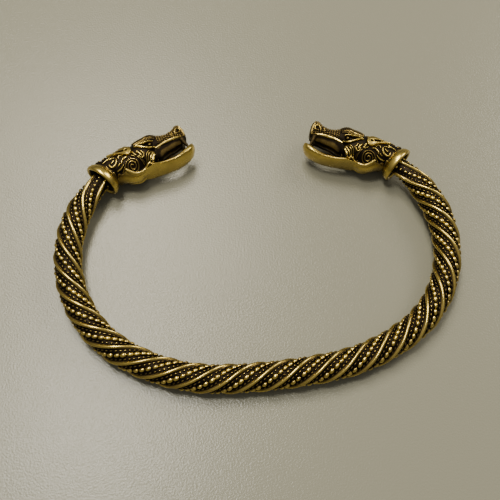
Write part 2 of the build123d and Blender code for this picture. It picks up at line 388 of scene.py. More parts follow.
def inside(x, y, outline):
    """True where a point lies within a closed outline, by counting the edges to its right."""
    crossed = np.zeros(x.shape, bool)
    for k in range(len(outline)):
        ax, ay = outline[k - 1]
        bx, by = outline[k]
        if ay == by:
            continue
        spans = (ay > y) != (by > y)
        crossed ^= spans & (x < (bx - ax) * (y - ay) / (by - ay) + ax)
    return crossed


def edge_distance(x, y, outline):
    """The distance to a closed outline, positive within it and negative outside."""
    ring = smooth_line(list(outline) + [outline[0]])
    distance, _ = line_distance(x, y, ring)
    return np.where(inside(x, y, ring), distance, -distance)


def ridge(distance, radius, height):
    """A round raised line: half an ellipse over the distance from its middle."""
    return height * np.sqrt(np.clip(1.0 - (distance / radius) ** 2, 0.0, 1.0))


# Meshes


def fill_mesh(name, points, faces, patina_and_painted_light, material):
    """Puts rows of corners into a new mesh object. Faces is a list of arrays with 3 or 4 columns."""
    mesh = bpy.data.meshes.new(name)
    loops = np.concatenate([face.ravel() for face in faces])
    sizes = np.concatenate([np.full(len(face), face.shape[1]) for face in faces])
    mesh.vertices.add(len(points))
    mesh.vertices.foreach_set("co", np.asarray(points, np.float32).ravel())
    mesh.loops.add(len(loops))
    mesh.loops.foreach_set("vertex_index", loops.astype(np.int32))
    mesh.polygons.add(len(sizes))
    mesh.polygons.foreach_set("loop_start", (np.cumsum(sizes) - sizes).astype(np.int32))
    mesh.polygons.foreach_set("use_smooth", np.ones(len(sizes), bool))
    mesh.update(calc_edges=True)
    layer = mesh.attributes.new("patina_and_painted_light", "FLOAT", "POINT")
    layer.data.foreach_set("value", np.asarray(patina_and_painted_light, np.float32).ravel())
    mesh.materials.append(material)
    piece = bpy.data.objects.new(name, mesh)
    bpy.context.scene.collection.objects.link(piece)
    return piece


def skin_faces(rows, columns, flip=False):
    """Faces of a closed tube of rows by columns points, with a point more for each end after them."""
    row, column = np.meshgrid(np.arange(rows - 1), np.arange(columns), indexing="ij")
    after = (column + 1) % columns
    near, far = row * columns, (row + 1) * columns
    sides = np.stack([near + column, near + after, far + after, far + column], -1).reshape(-1, 4)
    ring = np.arange(columns)
    turned = (ring + 1) % columns
    last = (rows - 1) * columns
    back = np.stack([np.full(columns, rows * columns), turned, ring], -1)
    front = np.stack([np.full(columns, rows * columns + 1), last + ring, last + turned], -1)
    faces = [sides, np.concatenate([back, front])]
    return [face[:, ::-1] for face in faces] if flip else faces


def tube(points):
    """The points of a closed tube as one list, with the middle of each end ring added."""
    ends = np.stack([points[0].mean(0), points[-1].mean(0)])
    return np.concatenate([points.reshape(-1, 3), ends])


def tube_values(values):
    """The values of a tube's points as one list, with one more for each end."""
    return np.concatenate([values.ravel(), [values[0].mean(), values[-1].mean()]])


def circles(along, radius, columns):
    """A profile turned round the first axis: each row is a circle at its place along that axis."""
    angle = np.linspace(0.0, 2 * np.pi, columns, endpoint=False)
    along = np.repeat(along[:, None], columns, axis=1)
    return np.stack([along, radius[:, None] * np.cos(angle), radius[:, None] * np.sin(angle)], -1)


def grid_normals(points):
    """Outward directions of a closed tube: the cross product of its steps along and round it."""
    along = np.gradient(points, axis=0)
    wrapped = np.concatenate([points[:, -1:], points, points[:, :1]], axis=1)
    across = (wrapped[:, 2:] - wrapped[:, :-2]) / 2
    normal = np.cross(across, along)
    length = np.linalg.norm(normal, axis=-1, keepdims=True)
    return normal / np.maximum(length, 1e-12)


# The band's line and the seat


def seat(points):
    """Turns points of the cuff's own frame by its lean and moves them to their place on the table."""
    lean = np.radians(SEAT_LEAN)
    x, y, z = points[..., 0], points[..., 1], points[..., 2]
    turned = np.stack([x, y * np.cos(lean) - z * np.sin(lean), y * np.sin(lean) + z * np.cos(lean)], -1)
    return turned + np.array(SEAT_SHIFT)


def half_way(side, distance):
    """Points and headings of one half of the band's line: along an arc the heading turns evenly."""
    turning = -1.0 if side == "left" else 1.0
    angle = np.pi if side == "left" else 0.0
    point = np.zeros(2)
    steps = [(radius, np.radians(turn)) for radius, turn in BAND_WAY[side]]
    points = np.zeros(distance.shape + (2,))
    angles = np.zeros(distance.shape)
    start = 0.0
    for radius, turn in steps:
        on = distance >= start
        bend = turning / radius
        heading = angle + bend * (distance - start)
        step = np.stack([np.sin(heading) - np.sin(angle), np.cos(angle) - np.cos(heading)], -1) / bend
        points = np.where(on[..., None], point + step, points)
        angles = np.where(on, heading, angles)
        final = angle + turning * turn
        point = point + np.array([np.sin(final) - np.sin(angle), np.cos(angle) - np.cos(final)]) / bend
        angle = final
        start += radius * turn
    on = distance >= start
    ahead = np.array([np.cos(angle), np.sin(angle)])
    points = np.where(on[..., None], point + (distance - start)[..., None] * ahead, points)
    angles = np.where(on, angle, angles)
    return points, angles


def half_length(side):
    """The length of one half of the band's line, up to the collar's rim."""
    return sum(radius * np.radians(turn) for radius, turn in BAND_WAY[side]) + END_RUN


LEFT_LENGTH = half_length("left") + PEG_LENGTH
BAND_LENGTH = LEFT_LENGTH + half_length("right") + PEG_LENGTH


def from_rim(distance):
    """How far places of the band's line are from the nearer collar's rim, in mm."""
    return np.minimum(distance, BAND_LENGTH - distance) - PEG_LENGTH


def band_line(distance):
    """Points, headings and outward directions of the band's line at distances from its left end, in mm."""
    along = distance - LEFT_LENGTH
    left, left_angle = half_way("left", np.abs(along))
    right, right_angle = half_way("right", np.abs(along))
    on_left = along < 0
    points = np.where(on_left[..., None], left, right)
    angle = np.where(on_left, left_angle + np.pi, right_angle)
    heading = np.stack([np.cos(angle), np.sin(angle), 0 * angle], -1)
    outward = np.stack([np.sin(angle), -np.cos(angle), 0 * angle], -1)
    return np.concatenate([points, np.zeros(points.shape[:-1] + (1,))], -1), heading, outward


def collar_points(points, side):
    """Moves points of a collar's frame, x along the band's end and y up the head, to the cuff's seat."""
    distance = np.array([half_length(side)])
    start, angle = half_way(side, distance)
    ahead = np.array([np.cos(angle[0]), np.sin(angle[0]), 0.0])
    across = np.array([-ahead[1], ahead[0], 0.0]) * (1.0 if side == "left" else -1.0)
    rim = np.array([start[0, 0], start[0, 1], 0.0])
    placed = rim + points[..., :1] * ahead + points[..., 1:2] * across
    placed[..., 2] += points[..., 2]
    return seat(placed) * MM


def head_points(points, side, sizes):
    """Moves points of the head's own frame, in mm, through its roll and its bend to the cuff's seat."""
    bend = sizes.neck_bend
    roll = -sizes.head_roll if side == "left" else sizes.head_roll
    x, height, depth = points[..., 0], points[..., 1], points[..., 2]
    y = height * np.cos(roll) - depth * np.sin(roll)
    turned = np.stack(
        [
            x * np.cos(bend) + y * np.sin(bend) + sizes.neck_reach / MM,
            -x * np.sin(bend) + y * np.cos(bend),
            height * np.sin(roll) + depth * np.cos(roll),
        ],
        -1,
    )
    return collar_points(turned, side)


# The carving of the head


def locks(x, t):
    """Mane locks: on each place of a staggered grid a ring, higher at its front, round a short stroke."""
    pitch_x, pitch_t = 1.25, 1.45
    ring_radius, ring_line, ring_crest = 0.52, 0.15, 0.28
    stroke_half, stroke_line, stroke_crest = 0.16, 0.12, 0.22
    height = np.full(x.shape, GROUND)
    column = np.round(x / pitch_x)
    for shift in (-1, 0, 1):
        place = column + shift
        stagger = np.where(place % 2 == 0, 0.0, 0.5)
        row = np.round(t / pitch_t - stagger) + stagger
        turn = 0.5 + 0.5 * np.sin(5.1 * place + 3.7 * row)
        away_x, away_t = x - place * pitch_x, t - row * pitch_t
        along = away_x * np.cos(turn) + away_t * np.sin(turn)
        across = away_t * np.cos(turn) - away_x * np.sin(turn)
        distance = np.hypot(0.9 * along, across)
        front = rise(along / np.maximum(distance, 0.05), -0.7, 0.5)
        height = raised(height, np.abs(distance - ring_radius), ring_line, ring_crest * front, GROUND)
        middle = np.hypot(np.maximum(np.abs(along + 0.05) - stroke_half, 0.0), across)
        height = raised(height, middle, stroke_line, stroke_crest, GROUND)
    return height


def scales(x, t):
    """Small round scales on a staggered grid: half an ellipse over the distance from the nearest middle."""
    pitch, radius, crest, foot = 0.52, 0.19, 0.17, -0.14
    row_gap = pitch * 0.8660
    row = np.round(x / row_gap)
    nearest = np.full(x.shape, 9.0)
    for shift in (-1, 0, 1):
        line = row + shift
        offset = np.where(line % 2 == 0, 0.0, 0.5)
        middle = (np.round(t / pitch - offset) + offset) * pitch
        nearest = np.minimum(nearest, np.hypot(x - line * row_gap, t - middle))
    return foot + ridge(nearest, radius, crest)


def spiral_line(steps=90):
    """The spiral's line from its table: the turn runs evenly and the distance is read between the rows."""
    turn = np.linspace(0.0, SPIRAL[-1][0], steps)
    radius = read(SPIRAL, turn)
    angle = np.radians(SPIRAL_START - turn)
    return np.array(SPIRAL_CENTRE) + np.stack([radius * np.cos(angle), radius * np.sin(angle)], -1)


def raised(height, distance, radius, crest, foot):
    """Lays a round ridge on the relief: it starts at its foot's height and rises by its crest."""
    return np.where(distance < radius, np.maximum(height, foot + ridge(distance, radius, crest)), height)


def stroke(height, x, y, half_width, crest, foot, places):
    """Lays one raised line on the relief: a round ridge that is slimmer towards both ends."""
    distance, along = line_distance(x, y, smooth_line(places))
    slim = half_width * (1.0 - 0.5 * (2.0 * along - 1.0) ** 4)
    return raised(height, distance / slim, 1.0, crest, foot)


def strokes(height, x, y, table, foot, widening=1.0):
    """Lays every raised line of a table on the relief."""
    for half_width, crest, places in table:
        height = stroke(height, x, y, widening * half_width, crest, foot, places)
    return height


def blurred(values, passes):
    """A running mean over the grid, closed round the section and held at both ends."""
    for _ in range(passes):
        padded = np.concatenate([values[:1], values, values[-1:]])
        values = (padded[:-2] + 2 * values + padded[2:]) / 4
        values = (np.roll(values, 1, axis=1) + 2 * values + np.roll(values, -1, axis=1)) / 4
    return values


def with_spiral(height, x, y):
    """Lays the spiral on the relief: a low round boss with the spiral's raised line on it."""
    from_centre = np.hypot(x - SPIRAL_CENTRE[0], y - SPIRAL_CENTRE[1])
    boss = GROUND + BOSS_HEIGHT * rise(-from_centre, -BOSS_RADIUS, 0.20 - BOSS_RADIUS)
    height = np.where(from_centre < BOSS_RADIUS, boss, height)
    to_curl, _ = line_distance(x, y, spiral_line())
    return raised(height, to_curl, **SPIRAL_LINE), from_centre


def with_eye(height, x, y):
    """Lays the eye on the relief: flat ground, a sunk opening, its round ball, and brow and lid lines."""
    socket = edge_distance(x, y, EYE_OPENING)
    height = np.where(socket > -EYE_MARGIN, np.minimum(height, GROUND), height)
    height = np.where(socket > 0, GROUND - EYE_DEPTH * rise(socket, 0.0, 0.25), height)
    ball = np.hypot(x - EYEBALL[0], y - EYEBALL[1])
    return strokes(raised(height, ball, **EYEBALL_LINE), x, y, EYE_LINES, -0.16)


def with_ear(height, x, y):
    """Lays the ear on the relief: a plateau that rises to its round end, a rim, and a sunk slit and pit."""
    within = edge_distance(x, y, EAR)
    plateau = EAR_LEVEL + EAR_GAIN * rise(x, *EAR_SLOPE)
    height = np.where(within > -EAR_MARGIN, np.minimum(height, GROUND), height)
    height = np.where(within > 0.0, GROUND + (plateau - GROUND) * rise(within, 0.0, 0.14), height)
    to_edge, _ = line_distance(x, y, smooth_line(EAR_RIM))
    height = raised(height, to_edge, **EAR_LINE)
    slit, _ = line_distance(x, y, smooth_line(EAR_SLIT))
    height = np.where(within > 0.0, height - EAR_SLIT_DEPTH * rise(-slit, -0.34, -0.10), height)
    pit = np.hypot(x - EAR_DOT[0], y - EAR_DOT[1])
    return height - EAR_DOT_DEPTH * rise(-pit, -0.32, -0.10)


def carving(x, y, t):
    """Height of the relief in mm and its patina and painted shade from 0 to 1, at points on the side of the
    head. Lines, plateaus and sunk outlines are laid on a flat ground one after another. The patina is 1 less
    a smooth step of the height, after part of its running mean is taken off, and has set values on some
    lines; the dark values inside the mouth are painted shade."""
    rim = smooth_line(CHEEK_RIM)
    smooth_skin = rise(read(np.concatenate([THROAT_BORDER, rim]), x) - y, 0.0, 0.20)

    # the mane's locks over the top, the drawn lines on the side and the spiral
    height = np.where(y > np.interp(x, [0.0, 2.0], [1.75, 2.3]), locks(x, t), GROUND)
    height = strokes(height, x, y, STROKES, GROUND, STROKE_WIDENING)
    height, from_centre = with_spiral(height, x, y)

    # the top of the snout and the brow
    snout = rise(x, *SNOUT_START) * rise(y, *SNOUT_FOOT)
    brow = rise(x, *BROW_START) * (1.0 - rise(x, *BROW_END)) * rise(y, *BROW_FOOT)
    height = height * (1.0 - snout) + scales(x, t) * snout
    height = height * (1.0 - brow) + (0.02 + 0.30 * scales(1.3 * x, 0.8 * t)) * brow
    height = with_ear(with_eye(height, x, y), x, y)

    # the lip, the nose and the rim under the cheek
    below_lip = (x > LIP_START) & (y < read(LIP, x) - 0.10)
    height = np.where(below_lip, 0.0, height)
    height = np.where(np.hypot(x - NOSTRIL[0], y - NOSTRIL[1]) < 0.30, -0.34, height)
    height = strokes(height, x, y, NOSE_LINES, -0.10)
    to_lip, _ = line_distance(x, y, smooth_line(LIP))
    height = raised(height, to_lip, **LIP_LINE) * (1.0 - smooth_skin)
    height = strokes(height, x, y, FOLDS, -0.10)
    to_rim, along_rim = line_distance(x, y, rim)
    thick = read(CHEEK_LINE, along_rim)
    height = raised(height, to_rim / thick, 1.0, 0.32, -0.06)

    # the patina of the carving, of the two patterns and of the boss, painted shade inside the mouth below the
    # lip and in its back corner, and the bright line along the lip
    level = height - 0.45 * blurred(height, 14)
    patina_and_painted_light = 1.0 - rise(level, -0.10, 0.20)
    patina_and_painted_light = np.where(snout > 0.5, 0.52 - 1.9 * np.clip(level, -0.15, 0.25), patina_and_painted_light)
    patina_and_painted_light = np.where(brow > 0.5, 0.63 - 2.4 * np.clip(level, -0.10, 0.20), patina_and_painted_light)
    patina_and_painted_light = np.where(from_centre < BOSS_TOP, np.maximum(patina_and_painted_light, 0.34), patina_and_painted_light)
    # painted shade: the side of the mouth below the lip is kept dark
    patina_and_painted_light = np.where(below_lip & (height <= 0.0), 0.95, patina_and_painted_light)
    patina_and_painted_light = np.where((to_lip < 0.30) & (height > 0.05), 0.10, patina_and_painted_light)
    # painted shade: the back corner of the mouth is painted black
    corner = (x > 8.25) & (x < 9.3) & (y < -2.1) & (y > -3.4)
    patina_and_painted_light = np.where(corner, 1.0, patina_and_painted_light)

    # the smooth skin is darker in its grooves, at the notch behind the jaw and at the throat by the collar
    deep = np.clip(blurred(height, 6) - height, 0.0, 0.1) / 0.1
    notch = 0.6 * ridge(np.hypot((x - 7.15) / 0.65, (t - 9.4) / 0.85), 1.0, 1.0)
    throat = 0.34 * (1.0 - rise(x, 1.8, 3.6))
    patina_and_painted_light = np.where(smooth_skin > 0.5, np.clip(0.9 * deep + notch + throat, 0.0, 0.9), patina_and_painted_light)
    patina_and_painted_light = np.where(to_rim < 0.8 * thick, 0.05, patina_and_painted_light)
    return height, patina_and_painted_light


def section(columns, top, bottom, width, squareness, narrow):
    """Points round a section between a circle and a square: powers of the cosine and sine of the angle."""
    even = np.linspace(0.0, 2 * np.pi, 4001)
    power = 2.0 / squareness
    unit_y = np.sign(np.cos(even)) * np.abs(np.cos(even)) ** power
    unit_z = np.sign(np.sin(even)) * np.abs(np.sin(even)) ** power
    run = np.concatenate([[0.0], np.cumsum(np.hypot(np.diff(unit_y), np.diff(unit_z)))])
    wanted = np.linspace(0.0, run[-1], columns, endpoint=False)
    unit_y, unit_z = np.interp(wanted, run, unit_y), np.interp(wanted, run, unit_z)
    middle, half = (top + bottom) / 2, (top - bottom) / 2
    y = middle[:, None] + half[:, None] * unit_y[None, :]
    z = width[:, None] / 2 * unit_z[None, :]
    return y, z * (1.0 - narrow(y))


def with_palate(height, patina_and_painted_light, x, y, z, half_width, middle):
    """Gives the underside of the upper jaw its palate: how far each point hangs down, a fold in waves across
    it, and a dark colour of painted shade and patina inside the mouth, with one brighter streak along each
    side painted as lit metal."""
    lower = y < middle
    palate = (x > PALATE_START) & (np.abs(z) < 0.80 * half_width) & lower
    hang = read(PALATE_HANG, x)
    drop = lower * hang * (1.0 - rise(np.abs(z) / half_width, 0.40, 0.80))
    fold = np.sin(4.6 * z + 0.7 * np.sin(1.1 * x) + 0.4 * np.sin(2.9 * x))
    height = np.where(palate, 0.06 * fold, height)
    patina_and_painted_light = np.where(palate, 0.68 - 0.14 * fold, patina_and_painted_light)
    way_down = drop / np.maximum(hang, 0.1)
    # painted light: one brighter streak along each side of the hanging palate, over painted shade and patina
    lit_streak = 0.32 * rise(0.45 - np.abs(way_down - 0.68 + 0.06 * fold), 0.0, 0.35) * rise(x, 9.4, 11.0)
    patina_and_painted_light = np.where((drop > 0.1) & (way_down < 0.98), 0.86 - lit_streak, patina_and_painted_light)
    return height, patina_and_painted_light, drop


def head_sections(table, sizes, grid, squareness, narrow):
    """Points of a head's skin from its section table, and each section's half width and middle height."""
    rows, columns = grid
    length, high, wide = sizes.head_length / MM, sizes.head_height / MM, sizes.head_width / MM
    places = np.linspace(table[0][0], table[-1][0], rows)
    top, bottom, width = row_values(table, places)
    y, z = section(columns, top * high, bottom * high, width * wide, squareness, narrow)
    x = np.repeat(places[:, None] * length, columns, axis=1)
    return x, y, z, width[:, None] * wide / 2, (top + bottom)[:, None] * high / 2


def head_body(sizes, grid=(290, 330)):
    """The head without its lower jaw: smoothed sections, slanted at the neck, with the palate hung down
    inside the mouth, and pushed out along their normals by the carving, which ends just before the nose."""
    x, y, z, half_width, middle = head_sections(BODY, sizes, grid, 2.5, lambda y: 0.26 * rise(-y, 0.9, 3.6))
    nose = x[-1, 0]
    slant = (1.0 - rise(x, 0.0, 4.2)) * np.tan(sizes.neck_bend)
    points = np.stack([x - slant * (y + 0.41), y, z], -1)
    x = points[..., 0]
    step = np.linalg.norm(np.diff(points, axis=1, append=points[:, :1]), axis=-1)
    run = np.cumsum(step, axis=1) - step
    t = np.minimum(run, run[:, -1:] + step[:, -1:] - run)
    height, patina_and_painted_light = carving(x, y, t)
    height, patina_and_painted_light, drop = with_palate(height, patina_and_painted_light, x, y, z, half_width, middle)
    points[..., 1] -= drop
    ends = 1.0 - rise(x, nose - 0.35, nose - 0.02)
    points = points + grid_normals(points) * (height * ends)[..., None]
    return points, patina_and_painted_light


def lower_jaw(sizes, grid=(150, 150)):
    """The lower jaw: smoothed sections whose top is hollowed between two raised edges, with a shallow
    groove along each side under its edge."""
    x, y, z, half_width, middle = head_sections(JAW, sizes, grid, 2.4, lambda y: 0.10 * rise(-y, 3.0, 3.8))
    across = np.abs(z) / half_width
    upper = rise(y - middle, 0.0, 0.5)
    trough = upper * (1.0 - rise(across, 0.45, 0.86)) * (1.0 - rise(x, 15.6, 16.8)) * rise(x, 7.0, 9.0)
    edge = upper * ridge(np.abs(across - 0.90), 0.12, 0.16)
    under = ridge(np.abs(y - middle - 0.10), 0.16, 0.07) * rise(across, 0.8, 0.95) * rise(x, 8.6, 9.6)
    points = np.stack([x, y - 0.75 * trough + edge, z * (1.0 - 0.02 * under)], -1)
    points = points - grid_normals(points) * (under * (1.0 - rise(x, 14.0, 15.5)))[..., None]
    # the hollow top inside the mouth is dark as painted shade with patina, and the groove under the edge is
    # darker as patina
    patina_and_painted_light = 0.85 * trough + 0.35 * under / 0.07 * (1.0 - rise(x, 13.0, 15.0)) + 0.05
    return points, np.clip(patina_and_painted_light, 0.0, 1.0)


def collar(rows=74, columns=160):
    """The collar: its outline, rounded and read at even steps, turned round the band's end axis."""
    line = smooth_line(COLLAR, 3)
    run = np.concatenate([[0.0], np.cumsum(np.linalg.norm(np.diff(line, axis=0), axis=1))])
    steps = np.linspace(0.0, run[-1], rows)
    points = circles(np.interp(steps, run, line[:, 0]), np.interp(steps, run, line[:, 1]), columns)
    cup = 1.0 - rise(steps, 2.15, 2.75)
    foot = rise(steps, run[-1] - 2.1, run[-1] - 1.5)
    # painted shade and patina inside the cup round the band, and painted shade at the foot, where the collar
    # meets the head
    patina_and_painted_light = np.repeat(np.clip(0.96 * cup + 0.9 * foot + 0.03, 0.0, 1.0)[:, None], columns, axis=1)
    return points, patina_and_painted_light


def fangs(sizes, rows=22, columns=20):
    """Two slim teeth between the jaws' front corners: circles that shrink from the root to the tip."""
    length, high = sizes.head_length / MM, sizes.head_height / MM
    down = np.linspace(0.0, 1.0, rows)
    radius, x, y = read(FANG_RADIUS, down), read(FANG_PLACE, down) * length, read(FANG_HEIGHT, down) * high
    tooth = circles(y, radius, columns)[..., [1, 0, 2]]
    tooth[..., 0] += x[:, None]
    return [tooth + np.array([0.0, 0.0, middle]) for middle in (FANG_SPREAD, -FANG_SPREAD)]


# Finishes


def feed(tree, node, inputs):
    """Links or sets each named or numbered input of a shader node."""
    for label, value in inputs.items():
        if isinstance(value, bpy.types.NodeSocket):
            tree.links.new(value, node.inputs[label])
        else:
            node.inputs[label].default_value = value


def added(tree, kind, inputs, **settings):
    """A new shader node with its settings and its inputs."""
    node = tree.nodes.new(kind)
    for name, value in settings.items():
        setattr(node, name, value)
    feed(tree, node, inputs)
    return node


def noise(tree, scale, detail, roughness=0.5):
    """A noise over the piece, from 0 to 1."""
    place = added(tree, "ShaderNodeTexCoord", {}).outputs["Object"]
    inputs = {"Vector": place, "Scale": scale, "Detail": detail, "Roughness": roughness}
    return added(tree, "ShaderNodeTexNoise", inputs).outputs["Fac"]


def antique_finish():
    """Worn plating over dark recesses. The value of patina and painted light holds the patina of the recesses
    and also painted shade and painted glints. Broken up by two sizes of noise, it mixes the colours and sets
    the roughness, and a fine noise gives the height of the casting's pits."""
    group = bpy.data.node_groups.new("antique_finish", "ShaderNodeTree")
    for way, kind, labels in (
        ("INPUT", "NodeSocketFloat", ("Patina And Painted Light", "Breakup", "Polish")),
        ("INPUT", "NodeSocketColor", ("Bright Gold", "Deep Gold", "Recess")),
        ("OUTPUT", "NodeSocketColor", ("Color",)),
        ("OUTPUT", "NodeSocketFloat", ("Roughness", "Height")),
    ):
        for label in labels:
            group.interface.new_socket(name=label, in_out=way, socket_type=kind)
    given = added(group, "NodeGroupInput", {}).outputs

    def math(kind, first, second):
        return added(group, "ShaderNodeMath", {0: first, 1: second}, operation=kind).outputs[0]

    def remap(value, low, high, to_low, to_high):
        inputs = {"Value": value, "From Min": low, "From Max": high, "To Min": to_low, "To Max": to_high}
        return added(group, "ShaderNodeMapRange", inputs, interpolation_type="SMOOTHSTEP").outputs["Result"]

    def mix(factor, first, second):
        inputs = {"Factor": factor, 6: first, 7: second}
        return added(group, "ShaderNodeMix", inputs, data_type="RGBA").outputs[2]

    fine, broad = noise(group, 4200.0, 3.0, 0.6), noise(group, 420.0, 3.0, 0.55)
    broken = math("MULTIPLY", math("SUBTRACT", fine, 0.5), given["Breakup"])
    spread = math("MULTIPLY", math("SUBTRACT", broad, 0.5), given["Breakup"])
    wear_and_painted_light = math("ADD", given["Patina And Painted Light"], math("ADD", broken, spread))
    dark = remap(wear_and_painted_light, 0.30, 0.78, 0.0, 1.0)
    tone = remap(math("ADD", wear_and_painted_light, math("MULTIPLY", broad, 0.30)), 0.05, 0.65, 0.0, 1.0)
    gold = mix(tone, given["Bright Gold"], given["Deep Gold"])
    rough = math("ADD", given["Polish"], remap(broad, 0.30, 0.75, -0.05, 0.09))
    added(group, "NodeGroupOutput", {
        "Color": mix(dark, gold, given["Recess"]),
        "Roughness": math("ADD", rough, math("MULTIPLY", dark, 0.30)),
        "Height": math("ADD", math("MULTIPLY", fine, 0.6), math("MULTIPLY", broad, 0.4)),
    })
    return group


def plated(name, colours):
    """A metal material, made once: the shared finish at the piece's own patina and painted light, with fine
    pits as a bump.
    """
    if name in bpy.data.materials:
        return bpy.data.materials[name]
    breakup, polish, depth = FINISHES[name]
    material = bpy.data.materials.new(name)
    material.use_nodes = True
    tree = material.node_tree
    group = bpy.data.node_groups.get("antique_finish") or antique_finish()
    finish = added(tree, "ShaderNodeGroup", {}, node_tree=group)
    feed(tree, finish, {
        "Patina And Painted Light": added(tree, "ShaderNodeAttribute", {}, attribute_name="patina_and_painted_light").outputs["Fac"],
        "Bright Gold": (*colours.bright_gold, 1.0),
        "Deep Gold": (*colours.deep_gold, 1.0),
        "Recess": (*colours.recess, 1.0),
        "Breakup": breakup,
        "Polish": polish,
    })
    pits = {"Height": finish.outputs["Height"], "Strength": 0.6, "Distance": depth}
    feed(tree, tree.nodes["Principled BSDF"], {
        "Base Color": finish.outputs["Color"],
        "Roughness": finish.outputs["Roughness"],
        "Normal": added(tree, "ShaderNodeBump", pits).outputs["Normal"],
        "Metallic": 1.0,
    })
    return material


def table_top(colours):
    """The pale table: a faint cloudiness in its colour and a fine orange-peel bump."""
    material = bpy.data.materials.new("pale_table")
    material.use_nodes = True
    tree = material.node_tree
    dark, light = ((*(shade * channel for channel in colours.table), 1.0) for shade in TABLE_SHADES)
    cloudy = {"Factor": noise(tree, *CLOUDS), 6: dark, 7: light}
    peel = {"Height": noise(tree, *GRAIN), "Strength": GRAIN_STRENGTH, "Distance": GRAIN_HEIGHT}
    feed(tree, tree.nodes["Principled BSDF"], {
        "Base Color": added(tree, "ShaderNodeMix", cloudy, data_type="RGBA").outputs[2],
        "Normal": added(tree, "ShaderNodeBump", peel).outputs["Normal"],
        "Roughness": TABLE_ROUGHNESS,
        "Specular IOR Level": TABLE_SPECULAR,
    })
    return material


# Settings


class CuffBandSizes(bpy.types.PropertyGroup):
    """Sizes of the twisted band"""

    radius: FloatProperty(
        name="Radius", description="Outer radius of the band over its wires", default=0.0026,
        unit="LENGTH", subtype="DISTANCE", precision=5,
    )
    end_radius: FloatProperty(
        name="End Radius", description="Outer radius of the band in the collars", default=0.0020,
        unit="LENGTH", subtype="DISTANCE", precision=5,
    )
    taper: FloatProperty(
        name="Taper", description="Length over which the band narrows before a collar", default=0.0090,
        unit="LENGTH", subtype="DISTANCE", precision=5,
    )
    lead: FloatProperty(
        name="Lead", description="Length of one full turn of a wire", default=0.02095,
        unit="LENGTH", subtype="DISTANCE", precision=5,
    )
    phase: FloatProperty(
        name="Phase", description="Turn of the twist at the left end", default=float(np.radians(44.0)),
        subtype="ANGLE",
    )
    starts: IntProperty(name="Wires", description="Number of smooth wires in the twist", default=4, min=1)
    bead_pitch: FloatProperty(
        name="Bead Pitch", description="Distance between large beads along the band", default=0.000967,
        unit="LENGTH", subtype="DISTANCE", precision=6,
    )
    ground_depth: FloatProperty(
        name="Ground Depth", description="Depth of the dark ground below the wires", default=0.00056,
        unit="LENGTH", subtype="DISTANCE", precision=6,
    )


class CuffHeadSizes(bpy.types.PropertyGroup):
    """Sizes of the two heads"""

    head_length: FloatProperty(
        name="Length", description="Length of the head from its neck to its nose", default=0.0165,
        unit="LENGTH", subtype="DISTANCE", precision=5,
    )
    head_height: FloatProperty(
        name="Height", description="Height that the section tables are shares of", default=0.0093,
        unit="LENGTH", subtype="DISTANCE", precision=5,
    )
    head_width: FloatProperty(
        name="Width", description="Width across the cheeks", default=0.0069,
        unit="LENGTH", subtype="DISTANCE", precision=5,
    )
    neck_bend: FloatProperty(
        name="Neck Bend", description="Turn of the head against its collar", default=float(np.radians(29.0)),
        subtype="ANGLE",
    )
    head_roll: FloatProperty(
        name="Head Roll", description="Turn of each head about its own axis, the left one outwards",
        default=float(np.radians(4.3)), subtype="ANGLE",
    )
    neck_reach: FloatProperty(
        name="Neck Reach", description="Distance from the collar's rim to the head's start", default=0.0021,
        unit="LENGTH", subtype="DISTANCE", precision=5,
    )


class CuffColours(bpy.types.PropertyGroup):
    """Colours of the finishes and of the table"""

    bright_gold: FloatVectorProperty(
        name="Bright Gold", description="Polished plating on high places", subtype="COLOR", size=3,
        default=(0.60, 0.45, 0.11), min=0.0, max=1.0,
    )
    deep_gold: FloatVectorProperty(
        name="Deep Gold", description="Plating that has darkened", subtype="COLOR", size=3,
        default=(0.21, 0.145, 0.042), min=0.0, max=1.0,
    )
    recess: FloatVectorProperty(
        name="Recess", description="Dark patina in the low places", subtype="COLOR", size=3,
        default=(0.014, 0.0105, 0.007), min=0.0, max=1.0,
    )
    table: FloatVectorProperty(
        name="Table", description="Colour of the table top", subtype="COLOR", size=3,
        default=(0.187, 0.184, 0.139), min=0.0, max=1.0,
    )


# Operators


def ride_and_stand_for(piece, node):
    """Lets a new piece ride on the cuff and stand for its CAD node."""
    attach(piece, "root")
    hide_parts(node)


def head_piece(side, part, points, faces, patina_and_painted_light, material):
    """Makes one piece of a head and lets it stand for that head's CAD node."""
    piece = fill_mesh(f"head_{side}_{part}", points, faces, patina_and_painted_light, material)
    ride_and_stand_for(piece, f"head_{side}")


def head_skin(side, part, points, patina_and_painted_light, placed, material):
    """Makes a closed tube of a head from the grid of its points and their places on the cuff."""
    faces = skin_faces(*points.shape[:2], flip=side == "right")
    head_piece(side, part, placed, faces, tube_values(patina_and_painted_light), material)


def band_reach(distance, sizes):
    """The band's outer radius in mm at a distance from its left end: even, and straight down to each end."""
    share = np.clip(from_rim(distance) / (sizes.taper / MM), 0.0, 1.0)
    return (sizes.end_radius + (sizes.radius - sizes.end_radius) * share) / MM


def twist_angle(turns, distance, sizes):
    """The angle round the band of a place in the twist: it turns once in every lead, and less and less
    over the last millimetres before each collar. The turn that is missing there is the running sum of
    the loosening from the full twist outwards."""
    away = np.linspace(LOOSE_RUN, -PEG_LENGTH - 0.1, 120)
    loosening = LOOSENING * (1.0 - rise(away, 0.5, LOOSE_RUN))
    missing = np.cumsum(loosening) * (away[0] - away[1])
    slack = np.interp(from_rim(distance), away[::-1], missing[::-1])
    even = distance + np.where(distance < BAND_LENGTH / 2, slack, -slack)
    return 2 * np.pi * (turns / sizes.starts + even * MM / sizes.lead) + sizes.phase


